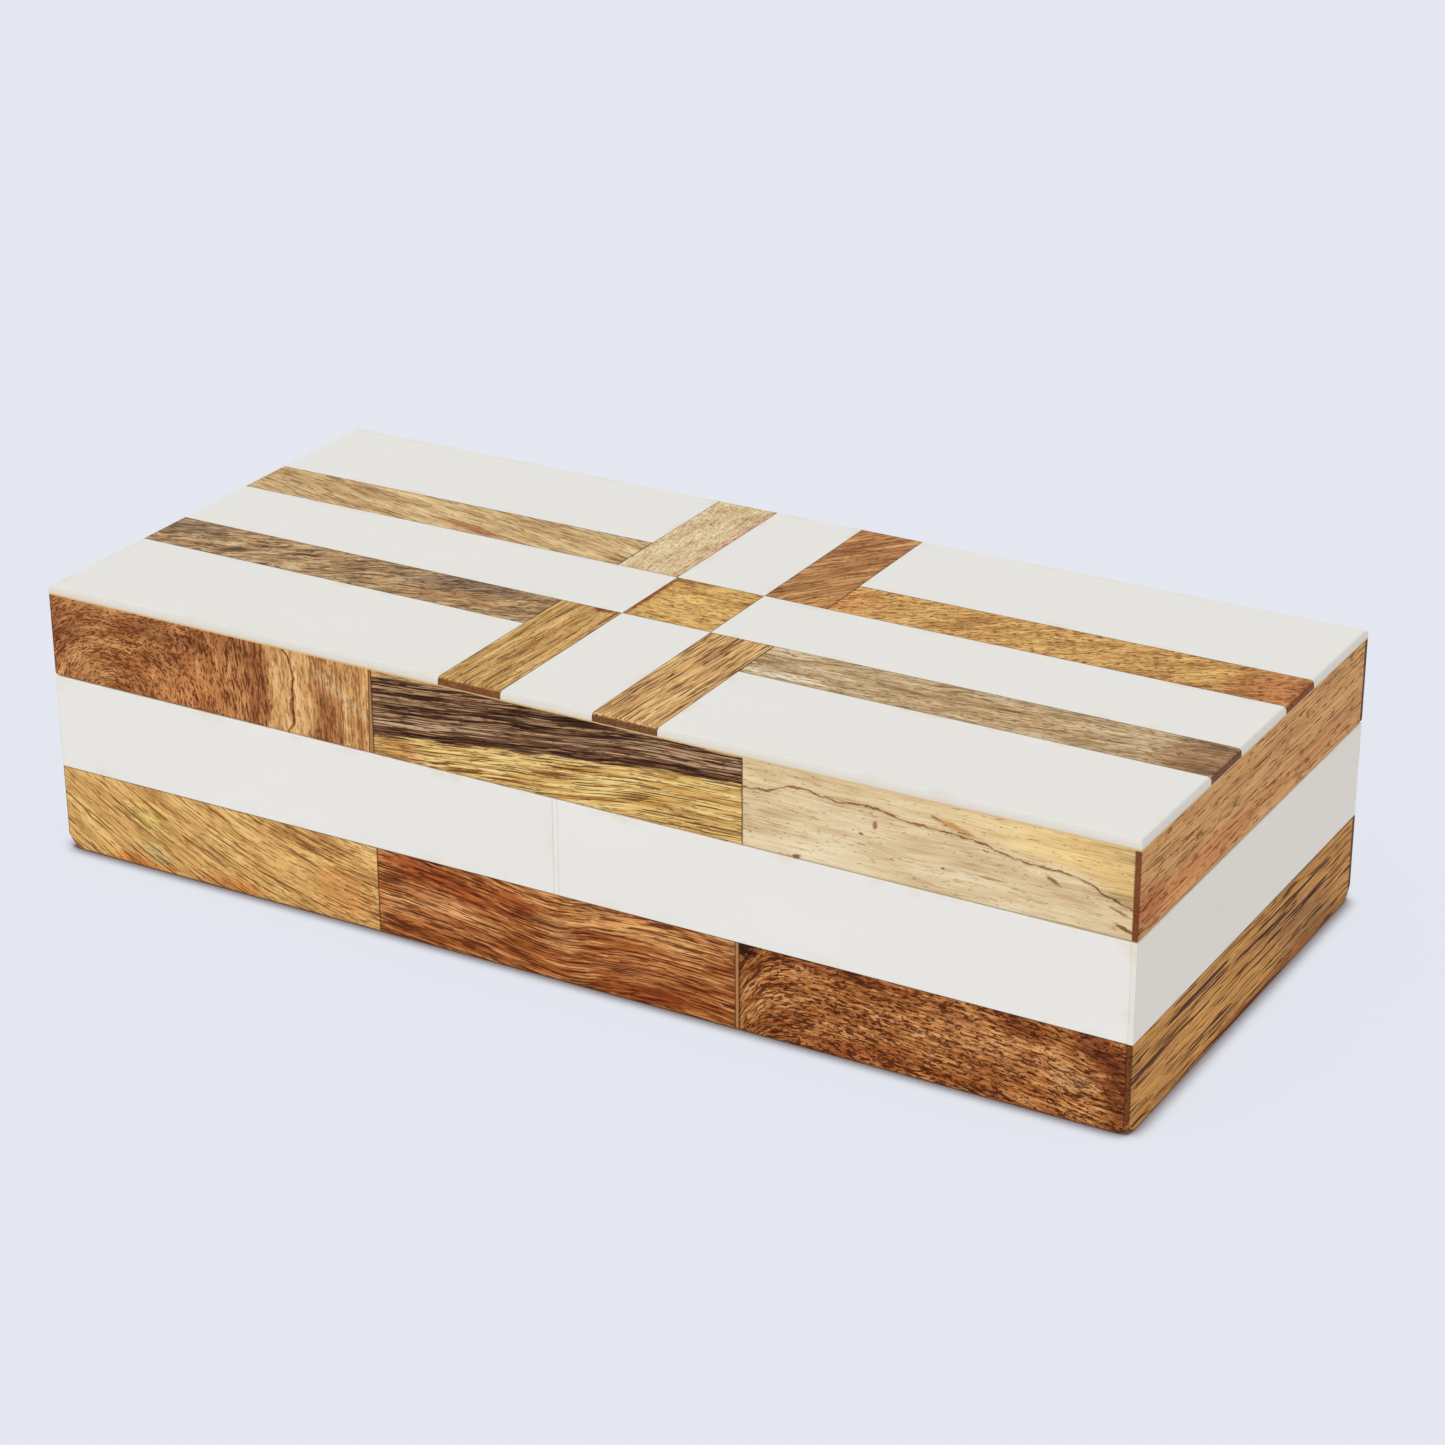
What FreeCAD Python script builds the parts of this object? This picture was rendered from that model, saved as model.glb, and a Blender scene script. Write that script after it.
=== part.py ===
import FreeCAD, Part
import os
import Sketcher
from FreeCAD import Placement, Rotation, Vector

# Inlaid wooden box with a hinged lid, in millimetres.
# +X runs to the right along the front, +Y to the back and +Z up.
# The origin is the centre of the underside, where the box rests.

doc = FreeCAD.newDocument("inlaid_box")

# ---------------------------------------------------------------- driving dimensions

SIZES = [
    ("box_length", 254.0, "outside, left to right"),
    ("box_depth", 114.3, "outside, front to back, without the hinges"),
    ("box_height", 62.0, "outside, underside to top"),
    ("base_band_height", 19.7, "wooden band round the foot of the box"),
    ("white_band_height", 21.4, "white band above it, up to the lid"),
    ("cladding", 1.1, "thickness of the bands"),
    ("inlay", 1.75, "thickness of the top layer"),
    ("core", 6.5, "thickness of the walls and rails behind the bands"),
    ("lid_board", 5.0, "thickness of the board under the top inlay"),
    ("floor_board", 4.5, "thickness of the floor"),
    ("base_felt", 0.8, "felt let in flush under the floor"),
    ("lining", 1.5, "velvet-covered card on the floor and inside the lid"),
    ("lining_gap", 0.4, "room round each lining"),
    ("strip_x", 15.0, "width of the top strips that run front to back"),
    ("strip_y", 14.8, "width of the top strips that run left to right"),
    ("centre_x", 21.4, "middle square of the top, left to right"),
    ("centre_y", 22.7, "middle square of the top, front to back"),
    ("pattern_x", -1.5, "how far the top pattern sits from the middle, to the right"),
    ("pattern_y", 1.0, "how far the top pattern sits from the middle, to the back"),
    ("lid_seam_one", 83.3, "first seam of the lid band, from the left end"),
    ("lid_seam_two", 170.2, "second seam of the lid band"),
    ("white_seam", 126.4, "seam of the white band"),
    ("base_seam_one", 82.8, "first seam of the base band"),
    ("base_seam_two", 169.4, "second seam of the base band"),
    ("top_round", 0.9, "radius of the top edges"),
    ("rim_round", 0.8, "radius along the lower edge of the lid"),
    ("white_round", 0.35, "radius along the upper edge of the white band"),
    ("foot_round", 0.6, "radius along the underside's edges"),
    ("corner_setback", 3.2, "how far the worn lower corners reach along each edge"),
    ("corner_ball", 8.0, "how deep the ball that rounds them is centred"),
    ("mouth_round", 0.8, "radius inside the mouth of the box and of the lid"),
    ("hinge_place", 75.0, "middle of each hinge, from the middle of the box"),
    ("leaf_length", 22.0, "hinge leaf along the box"),
    ("leaf_height", 12.5, "hinge leaf from the pin to its far edge"),
    ("leaf_thick", 0.9, "hinge leaf"),
    ("leaf_notch", 2.7, "edge of the leaf beside the other leaf's knuckle, from the pin"),
    ("pin_offset", 2.3, "middle of the pin, behind the back of the box"),
    ("knuckle_radius", 2.0, "outside of the rolled knuckles"),
    ("knuckle_length", 7.2, "each of the three knuckles"),
    ("pin_radius", 0.9, "hinge pin, tight in the outer knuckles"),
    ("pin_clearance", 0.05, "radial room in the middle knuckle"),
    ("pin_tip", 0.4, "length of the pin that shows at each end"),
    ("heel_reach", 4.4, "stop on the middle knuckle, from the pin"),
    ("heel_half", 1.3, "half the thickness of the stop"),
    ("heel_length", 6.4, "stop along the pin"),
    ("screw_spread", 13.0, "between the two screws of a leaf"),
    ("screw_height", 8.0, "screws from the pin"),
    ("screw_head", 1.7, "radius of the countersunk head"),
    ("screw_shank", 0.8, "radius of the shank"),
    ("screw_length", 6.0, "shank behind the leaf"),
    ("slot_width", 0.4, "screwdriver slot, and its depth"),
]
OPEN_ANGLE = 100.0    # degrees of lid travel, where the heels meet the lower leaves
SCREW_ROWS = (-1, 1)
HINGES = (("left", -1), ("right", 1))

sheet = doc.addObject("Spreadsheet::Sheet", "Sizes")
for row, (alias, value, note) in enumerate(SIZES, start=1):
    sheet.set(f"A{row}", alias)
    sheet.set(f"B{row}", str(value))
    sheet.set(f"C{row}", note)
    sheet.setAlias(f"B{row}", alias)
doc.recompute()

# Stations: where the pieces begin and end, as expressions on the sheet.
LEFT, RIGHT = "-Sizes.box_length / 2", "Sizes.box_length / 2"
FRONT, BACK = "-Sizes.box_depth / 2", "Sizes.box_depth / 2"
SKIN_LEFT, SKIN_RIGHT = f"{LEFT} + Sizes.cladding", f"{RIGHT} - Sizes.cladding"
SKIN_FRONT, SKIN_BACK = f"{FRONT} + Sizes.cladding", f"{BACK} - Sizes.cladding"
INNER_LEFT, INNER_RIGHT = f"{SKIN_LEFT} + Sizes.core", f"{SKIN_RIGHT} - Sizes.core"
INNER_FRONT, INNER_BACK = f"{SKIN_FRONT} + Sizes.core", f"{SKIN_BACK} - Sizes.core"
LINED_LEFT, LINED_RIGHT = f"{INNER_LEFT} + Sizes.lining_gap", f"{INNER_RIGHT} - Sizes.lining_gap"
LINED_FRONT, LINED_BACK = f"{INNER_FRONT} + Sizes.lining_gap", f"{INNER_BACK} - Sizes.lining_gap"

GROUND = "0"
BAND_TOP = "Sizes.base_band_height"
RIM = "Sizes.base_band_height + Sizes.white_band_height"
TOP = "Sizes.box_height"
INLAY_FOOT = f"{TOP} - Sizes.inlay"
BOARD_FOOT = f"{INLAY_FOOT} - Sizes.lid_board"
FLOOR_TOP = "Sizes.base_felt + Sizes.floor_board"

# ---------------------------------------------------------------- flat-sided pieces

SIDES = {"left": "XMin", "right": "XMax", "front": "YMin", "back": "YMax",
         "bottom": "ZMin", "top": "ZMax"}
TOUCHING = 1e-4


def edge_between(shape, first, second):
    """Name the straight edge where two outer sides of a block meet."""
    for number, edge in enumerate(shape.Edges, start=1):
        for side in (first, second):
            axis = SIDES[side][0]
            level = getattr(shape.BoundBox, SIDES[side])
            low = getattr(edge.BoundBox, axis + "Min")
            high = getattr(edge.BoundBox, axis + "Max")
            if abs(low - level) > TOUCHING or abs(high - level) > TOUCHING:
                break
        else:
            return f"Edge{number}"
    raise ValueError(f"no edge between {first} and {second}")


def rectangle(sketch, length, depth):
    """Draw a rectangle from the sketch's origin, its two sizes bound to expressions."""
    start = 10.0
    corners = [Vector(0, 0, 0), Vector(start, 0, 0), Vector(start, start, 0), Vector(0, start, 0)]
    for number in range(4):
        sketch.addGeometry(Part.LineSegment(corners[number], corners[(number + 1) % 4]))
    for number in range(4):
        sketch.addConstraint(Sketcher.Constraint("Coincident", number, 2, (number + 1) % 4, 1))
    for kind, line in (("Horizontal", 0), ("Vertical", 1), ("Horizontal", 2), ("Vertical", 3)):
        sketch.addConstraint(Sketcher.Constraint(kind, line))
    sketch.addConstraint(Sketcher.Constraint("Coincident", 0, 1, -1, 1))
    for name, kind, line, size in (("across", "DistanceX", 0, length), ("along", "DistanceY", 1, depth)):
        index = sketch.addConstraint(Sketcher.Constraint(kind, line, 1, line, 2, start))
        sketch.renameConstraint(index, name)
        sketch.setExpression(f"Constraints.{name}", size)


def block(label, x_span, y_span, z_span, rounds=()):
    """A board or inlay piece between two stations on each axis.

    rounds lists (radius alias, ((side, side), ...)): the outer edges that are eased.
    """
    body = doc.addObject("PartDesign::Body", label)
    body.Label = label
    sketch = body.newObject("Sketcher::SketchObject", label + "_outline")
    ground_plane = next(f for f in body.Origin.OriginFeatures if f.Role == "XY_Plane")
    sketch.AttachmentSupport = [(ground_plane, "")]
    sketch.MapMode = "FlatFace"
    rectangle(sketch, f"{x_span[1]} - ({x_span[0]})", f"{y_span[1]} - ({y_span[0]})")
    pad = body.newObject("PartDesign::Pad", label + "_pad")
    pad.Profile = sketch
    pad.setExpression("Length", f"{z_span[1]} - ({z_span[0]})")
    sketch.Visibility = False
    for axis, station in (("x", x_span[0]), ("y", y_span[0]), ("z", z_span[0])):
        body.setExpression(f"Placement.Base.{axis}", station)
    doc.recompute()
    last = pad
    for alias, pairs in rounds:
        fillet = body.newObject("PartDesign::Fillet", f"{label}_{alias}")
        fillet.Base = (last, [edge_between(last.Shape, *pair) for pair in pairs])
        fillet.setExpression("Radius", f"Sizes.{alias}")
        doc.recompute()
        last = fillet
    body.Tip = last
    return body


def bind(thing, **expressions):
    """Bind an object's own properties to expressions."""
    for name, expression in expressions.items():
        thing.setExpression(name, expression)
    return thing


def put(thing, x, y, z, turn=None):
    """Place a primitive at stations, after an optional fixed turn."""
    thing.Placement = Placement(Vector(0, 0, 0), turn or Rotation())
    for axis, station in (("x", x), ("y", y), ("z", z)):
        thing.setExpression(f"Placement.Base.{axis}", station)
    return thing


def box(name, x_span, y_span, z_span):
    made = bind(doc.addObject("Part::Box", name),
                Length=f"{x_span[1]} - ({x_span[0]})",
                Width=f"{y_span[1]} - ({y_span[0]})",
                Height=f"{z_span[1]} - ({z_span[0]})")
    return put(made, x_span[0], y_span[0], z_span[0])


def fuse(name, shapes):
    made = doc.addObject("Part::MultiFuse", name)
    made.Shapes = shapes
    return made


def cut(name, base, tool):
    made = doc.addObject("Part::Cut", name)
    made.Base, made.Tool = base, tool
    return made


def worn_box():
    """The whole outside of the box, its four lower corners rounded by a ball that sits inside each."""
    depth, reach = "Sizes.corner_ball", "Sizes.corner_setback"
    worn = []
    for x_side, x_span, x_ball in (("left", (LEFT, f"{LEFT} + {reach}"), f"{LEFT} + {depth}"),
                                   ("right", (f"{RIGHT} - {reach}", RIGHT), f"{RIGHT} - {depth}")):
        for y_side, y_span, y_ball in (("front", (FRONT, f"{FRONT} + {reach}"), f"{FRONT} + {depth}"),
                                       ("back", (f"{BACK} - {reach}", BACK), f"{BACK} - {depth}")):
            name = f"corner_{y_side}_{x_side}"
            ball = bind(doc.addObject("Part::Sphere", name + "_ball"),
                        Radius=f"sqrt(2 * {depth} ^ 2 + ({depth} - {reach}) ^ 2)")
            put(ball, x_ball, y_ball, depth)
            worn.append(cut(name, box(name + "_block", x_span, y_span, (GROUND, reach)), ball))
    whole = box("whole_outside", (LEFT, RIGHT), (FRONT, BACK), (GROUND, TOP))
    return cut("worn_outside", whole, fuse("worn_corners", worn))


WORN = worn_box()


def worn_block(label, x_span, y_span, z_span, rounds=()):
    """A piece that reaches a lower corner of the box, so it is worn round there."""
    piece = doc.addObject("Part::Common", label)
    piece.Base = block(label + "_blank", x_span, y_span, z_span, rounds)
    piece.Tool = WORN
    piece.Label = label
    return piece


# The wooden core: floor and four walls, lid board and four rails, and the cloth on them.

def core():
    mouth = {"left": "right", "right": "left", "front": "back", "back": "front"}
    spans = {
        "left": ((SKIN_LEFT, INNER_LEFT), (SKIN_FRONT, SKIN_BACK)),
        "right": ((INNER_RIGHT, SKIN_RIGHT), (SKIN_FRONT, SKIN_BACK)),
        "front": ((INNER_LEFT, INNER_RIGHT), (SKIN_FRONT, INNER_FRONT)),
        "back": ((INNER_LEFT, INNER_RIGHT), (INNER_BACK, SKIN_BACK)),
    }
    pieces = []
    for side, (x_span, y_span) in spans.items():
        inner = mouth[side]
        wall = worn_block if side in ("left", "right") else block
        pieces.append(wall(f"base_wall_{side}", x_span, y_span, (GROUND, RIM),
                           [("mouth_round", [("top", inner)])]))
        pieces.append(block(f"lid_rail_{side}", x_span, y_span, (RIM, BOARD_FOOT),
                            [("mouth_round", [("bottom", inner)])]))
    inside = ((INNER_LEFT, INNER_RIGHT), (INNER_FRONT, INNER_BACK))
    pieces.append(block("base_floor", *inside, ("Sizes.base_felt", FLOOR_TOP)))
    pieces.append(block("lid_board", (SKIN_LEFT, SKIN_RIGHT), (SKIN_FRONT, SKIN_BACK),
                        (BOARD_FOOT, INLAY_FOOT)))
    return pieces


def linings():
    lined = ((LINED_LEFT, LINED_RIGHT), (LINED_FRONT, LINED_BACK))
    return [
        block("base_lining", *lined, (FLOOR_TOP, f"{FLOOR_TOP} + Sizes.lining")),
        block("lid_lining", *lined, (f"{BOARD_FOOT} - Sizes.lining", BOARD_FOOT)),
        block("base_felt", *lined, (GROUND, "Sizes.base_felt")),
    ]


# Each band goes round like a pinwheel: every side covers the end of the side on its left
# and stops behind the side on its right.
PINWHEEL = {
    "front": ((LEFT, SKIN_RIGHT), (FRONT, SKIN_FRONT), "left"),
    "right": ((SKIN_RIGHT, RIGHT), (FRONT, SKIN_BACK), "front"),
    "back": ((SKIN_LEFT, RIGHT), (SKIN_BACK, BACK), "right"),
    "left": ((LEFT, SKIN_LEFT), (SKIN_FRONT, BACK), "back"),
}


def band(name, seams, z_span, alias, edge, make_end):
    """One band round the box, in one piece on each end and several on the front and the back.

    seams are the stations between the pieces of the front and the back. alias and edge name
    the eased radius and which horizontal edge it eases. make_end makes the pieces at a corner
    of the box, and block makes the others.
    """
    names = ("left", "right") if len(seams) == 1 else ("left", "middle", "right")
    pieces = []
    for side, (x_span, y_span, covered) in PINWHEEL.items():
        if side in ("left", "right"):
            pieces.append(make_end(f"{name}_{side}", x_span, y_span, z_span,
                                   [(alias, [(edge, side), (edge, covered)])]))
            continue
        stations = [x_span[0], *seams, x_span[1]]
        for piece, first, last in zip(names, stations, stations[1:]):
            eased = [(edge, side)] + ([(edge, covered)] if piece == covered else [])
            make = block if piece == "middle" else make_end
            pieces.append(make(f"{name}_{side}_{piece}", (first, last), y_span, z_span, [(alias, eased)]))
    return pieces


def bands():
    def seams(*names):
        return [f"{LEFT} + Sizes.{name}" for name in names]

    return (
        band("base_band", seams("base_seam_one", "base_seam_two"), (GROUND, BAND_TOP),
             "foot_round", "bottom", worn_block)
        + band("white_band", seams("white_seam"), (BAND_TOP, RIM), "white_round", "top", block)
        + band("lid_band", seams("lid_seam_one", "lid_seam_two"), (RIM, INLAY_FOOT),
               "rim_round", "bottom", block)
    )


def top_inlay():
    """Five columns by five rows: white corners and arms, wooden strips and middle square."""
    half_x = "Sizes.centre_x / 2"
    half_y = "Sizes.centre_y / 2"
    columns = [LEFT, f"Sizes.pattern_x - {half_x} - Sizes.strip_x", f"Sizes.pattern_x - {half_x}",
               f"Sizes.pattern_x + {half_x}", f"Sizes.pattern_x + {half_x} + Sizes.strip_x", RIGHT]
    rows = [FRONT, f"Sizes.pattern_y - {half_y} - Sizes.strip_y", f"Sizes.pattern_y - {half_y}",
            f"Sizes.pattern_y + {half_y}", f"Sizes.pattern_y + {half_y} + Sizes.strip_y", BACK]
    # label: first and last column station, first and last row station
    layout = {
        "top_white_front_left": (0, 1, 0, 1),
        "top_white_front_right": (4, 5, 0, 1),
        "top_white_back_left": (0, 1, 4, 5),
        "top_white_back_right": (4, 5, 4, 5),
        "top_white_arm_left": (0, 2, 2, 3),
        "top_white_arm_right": (3, 5, 2, 3),
        "top_white_arm_front": (2, 3, 0, 2),
        "top_white_arm_back": (2, 3, 3, 5),
        "top_wood_middle": (2, 3, 2, 3),
        "top_wood_left_front": (0, 1, 1, 2),
        "top_wood_left_back": (0, 1, 3, 4),
        "top_wood_right_front": (4, 5, 1, 2),
        "top_wood_right_back": (4, 5, 3, 4),
        "top_wood_front_left": (1, 2, 0, 2),
        "top_wood_front_right": (3, 4, 0, 2),
        "top_wood_back_left": (1, 2, 3, 5),
        "top_wood_back_right": (3, 4, 3, 5),
    }
    pieces = []
    for label, (x_first, x_last, y_first, y_last) in layout.items():
        outer = [("top", side) for side, on_edge in (
            ("left", x_first == 0), ("right", x_last == 5),
            ("front", y_first == 0), ("back", y_last == 5)) if on_edge]
        pieces.append(block(label, (columns[x_first], columns[x_last]), (rows[y_first], rows[y_last]),
                            (INLAY_FOOT, TOP), [("top_round", outer)] if outer else ()))
    return pieces


# ---------------------------------------------------------------- hinges

def rod_along_x(name, radius, x_first, x_last):
    made = bind(doc.addObject("Part::Cylinder", name), Radius=radius, Height=f"{x_last} - ({x_first})")
    return put(made, x_first, PIN_Y, RIM, Rotation(Vector(0, 1, 0), 90))


PIN_Y = f"{BACK} + Sizes.pin_offset"
LEAF_FACE = f"{BACK} + Sizes.leaf_thick"
INTO_BOX = Rotation(Vector(1, 0, 0), 90)      # turns a primitive's own axis from +Z to -Y


def hinge_middle(sign):
    return f"{sign} * Sizes.hinge_place"


def screw_places(sign, upward):
    """Stations of the two screws of one leaf."""
    middle = hinge_middle(sign)
    return [(f"{middle} + {side} * Sizes.screw_spread / 2",
             f"{RIM} + {upward} * Sizes.screw_height") for side in SCREW_ROWS]


def leaf(label, sign, upward, knuckles):
    """One hinge leaf: a plate on the back of the box and the knuckles rolled from it.

    upward is 1 for the lid's leaf and -1 for the base's. knuckles lists the
    knuckles' middles, in knuckle lengths from the middle of the hinge.
    """
    middle = hinge_middle(sign)
    gap = "(Sizes.leaf_length - 3 * Sizes.knuckle_length) / 2"

    def height_span(near, far):
        near, far = f"{RIM} + {upward} * ({near})", f"{RIM} + {upward} * ({far})"
        return (near, far) if upward > 0 else (far, near)

    plate_x = (f"{middle} - Sizes.leaf_length / 2", f"{middle} + Sizes.leaf_length / 2")
    solids = [box(label + "_plate", plate_x, (BACK, LEAF_FACE),
                  height_span("Sizes.leaf_notch", "Sizes.leaf_height"))]
    for number, place in enumerate(knuckles):
        knuckle_middle = f"{middle} + {place} * (Sizes.knuckle_length + {gap})"
        ends = (f"{knuckle_middle} - Sizes.knuckle_length / 2",
                f"{knuckle_middle} + Sizes.knuckle_length / 2")
        solids.append(box(f"{label}_tab_{number}", ends, (BACK, LEAF_FACE),
                          height_span("0.1", "Sizes.leaf_notch")))
        solids.append(rod_along_x(f"{label}_knuckle_{number}", "Sizes.knuckle_radius", *ends))
    if upward > 0:
        solids.append(heel(label + "_heel", middle))
        bore_radius = "Sizes.pin_radius + Sizes.pin_clearance"
    else:
        bore_radius = "Sizes.pin_radius"
    holes = [rod_along_x(label + "_bore", bore_radius, *plate_x)]
    for number, (x, z) in enumerate(screw_places(sign, upward)):
        holes.append(screw_head(f"{label}_sink_{number}", x, z))
    leaf_made = cut(label, fuse(label + "_metal", solids), fuse(label + "_holes", holes))
    leaf_made.Label = label
    return leaf_made


def heel(name, middle):
    """The stop: at the end of the lid's travel it hangs straight down beside the lower leaf."""
    made = bind(doc.addObject("Part::Box", name), Length="Sizes.heel_length",
                Width="Sizes.heel_reach", Height="2 * Sizes.heel_half")
    tilt = Rotation(Vector(1, 0, 0), OPEN_ANGLE - 90.0)
    # the block turns about its own corner, so that corner is set half a thickness below the pin
    down = tilt.multVec(Vector(0, 0, -1))
    return put(made, f"{middle} - Sizes.heel_length / 2",
               f"{PIN_Y} + ({down.y}) * Sizes.heel_half",
               f"{RIM} + ({down.z}) * Sizes.heel_half", tilt)


def screw_head(name, x, z):
    """A countersunk cone that fills the leaf's thickness, wide at the leaf's face."""
    made = bind(doc.addObject("Part::Cone", name), Radius1="Sizes.screw_head",
                Radius2="Sizes.screw_shank", Height="Sizes.leaf_thick")
    return put(made, x, LEAF_FACE, z, INTO_BOX)


def screw(name, x, z):
    shank = bind(doc.addObject("Part::Cylinder", name + "_shank"), Radius="Sizes.screw_shank",
                 Height="Sizes.screw_length")
    put(shank, x, BACK, z, INTO_BOX)
    metal = fuse(name + "_metal", [screw_head(name + "_head", x, z), shank])
    slot = box(name + "_slot", (f"{x} - Sizes.screw_head", f"{x} + Sizes.screw_head"),
               (f"{LEAF_FACE} - Sizes.slot_width", f"{LEAF_FACE} + Sizes.slot_width"),
               (f"{z} - Sizes.slot_width / 2", f"{z} + Sizes.slot_width / 2"))
    return cut(name, metal, slot)


def screws(label, upward):
    group = doc.addObject("Part::Compound", label)
    group.Label = label
    group.Links = [screw(f"{label}_{side}_{number}", x, z)
                   for side, sign in HINGES
                   for number, (x, z) in enumerate(screw_places(sign, upward))]
    return group


def pin(label, sign):
    middle = hinge_middle(sign)
    made = rod_along_x(label, "Sizes.pin_radius",
                       f"{middle} - Sizes.leaf_length / 2 - Sizes.pin_tip",
                       f"{middle} + Sizes.leaf_length / 2 + Sizes.pin_tip")
    made.Label = label
    return made


def hinges():
    pieces = []
    for side, sign in HINGES:
        pieces.append(leaf(f"hinge_{side}_base_leaf", sign, -1, (-1, 1)))
        pieces.append(leaf(f"hinge_{side}_lid_leaf", sign, 1, (0,)))
        pieces.append(pin(f"hinge_{side}_pin", sign))
    pieces.append(screws("base_hinge_screws", -1))
    pieces.append(screws("lid_hinge_screws", 1))
    return pieces


# ---------------------------------------------------------------- build, check and write

pieces = core() + linings() + bands() + top_inlay() + hinges()
doc.recompute()

for thing in doc.Objects:
    if "Invalid" in thing.State or "Error" in thing.State:
        raise RuntimeError(f"{thing.Name} did not compute: {thing.State}")
for piece in pieces:
    if piece.Shape.isNull() or not piece.Shape.isValid():
        raise RuntimeError(f"{piece.Label} has no valid shape")

os.makedirs("parts", exist_ok=True)
for piece in pieces:
    piece.Shape.exportStep(os.path.join("parts", piece.Label + ".step"))
print(f"wrote {len(pieces)} sub-parts")
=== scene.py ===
import math
from dataclasses import dataclass

import bmesh
import bpy
from mathutils import Matrix, Vector, noise


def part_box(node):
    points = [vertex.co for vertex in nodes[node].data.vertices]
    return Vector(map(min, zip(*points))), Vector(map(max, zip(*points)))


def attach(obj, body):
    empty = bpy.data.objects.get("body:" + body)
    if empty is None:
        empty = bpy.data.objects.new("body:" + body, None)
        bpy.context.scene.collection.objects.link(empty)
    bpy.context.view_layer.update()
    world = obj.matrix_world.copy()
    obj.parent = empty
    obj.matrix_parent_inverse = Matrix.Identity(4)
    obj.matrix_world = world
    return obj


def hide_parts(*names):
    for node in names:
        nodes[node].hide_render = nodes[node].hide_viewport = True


# An inlaid wooden box: white and wooden pieces glued over a wooden core, with a
# hinged lid. Lengths are metres, but the materials' patterns are drawn in mm.

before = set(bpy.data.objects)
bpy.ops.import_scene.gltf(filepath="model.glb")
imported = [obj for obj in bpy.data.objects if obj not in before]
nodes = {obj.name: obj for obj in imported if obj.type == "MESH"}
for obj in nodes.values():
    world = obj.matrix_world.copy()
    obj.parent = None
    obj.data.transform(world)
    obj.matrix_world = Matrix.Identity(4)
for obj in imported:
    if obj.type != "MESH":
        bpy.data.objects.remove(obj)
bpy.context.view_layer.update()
scene = bpy.context.scene
MM = 0.001

# ---------------------------------------------------------------- camera, light and floor

AIM = Vector((0.0036, 0.0040, 0.0347))
DISTANCE = 0.788
AZIMUTH, ELEVATION, ROLL = 29.99, 24.25, -0.29      # degrees
LENS, SENSOR = 92.03, 36.0                          # mm


def add_camera():
    azimuth, elevation = math.radians(AZIMUTH), math.radians(ELEVATION)
    outward = Vector((math.sin(azimuth) * math.cos(elevation),
                      -math.cos(azimuth) * math.cos(elevation), math.sin(elevation)))
    data = bpy.data.cameras.new("camera")
    data.lens, data.sensor_width = LENS, SENSOR
    data.clip_start, data.clip_end = 0.05, 100.0
    camera = bpy.data.objects.new("camera", data)
    turn = outward.to_track_quat("Z", "Y").to_matrix().to_4x4()
    turn = turn @ Matrix.Rotation(math.radians(ROLL), 4, "Z")
    camera.matrix_world = Matrix.Translation(AIM + outward * DISTANCE) @ turn
    scene.collection.objects.link(camera)
    scene.camera = camera


SKY = 0.80                  # even light from all round
KEY = 0.84                  # one broad soft light from the front left
KEY_FROM = (-0.31, -0.735, 0.62)


def add_light():
    world = bpy.data.worlds.new("studio")
    world.use_nodes = True
    sky = world.node_tree.nodes["Background"]
    sky.inputs["Color"].default_value = (1.0, 1.0, 1.0, 1.0)
    sky.inputs["Strength"].default_value = SKY
    scene.world = world
    data = bpy.data.lights.new("key", "SUN")
    data.energy, data.angle = KEY, math.radians(70)
    data.color = (1.0, 0.995, 0.98)
    key = bpy.data.objects.new("key", data)
    key.matrix_world = Vector(KEY_FROM).to_track_quat("Z", "Y").to_matrix().to_4x4()
    scene.collection.objects.link(key)
    scene.view_settings.view_transform = "Standard"


FLOOR_SIZE = 60.0
FLOOR_COLOR = (229, 232, 241)
FLOOR_GLOW = 0.92           # share of the floor's brightness that it gives off itself
CONTACT = 0.0055            # how far the painted contact shadow under the box spreads


# ---------------------------------------------------------------- shader building blocks

def linear(color):
    """A screen colour, 0 to 255, as the linear RGBA that shaders take."""
    parts = [c / 255 for c in color]
    parts = [c / 12.92 if c <= 0.04045 else ((c + 0.055) / 1.055) ** 2.4 for c in parts]
    return tuple(parts) + (1.0,)


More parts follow.
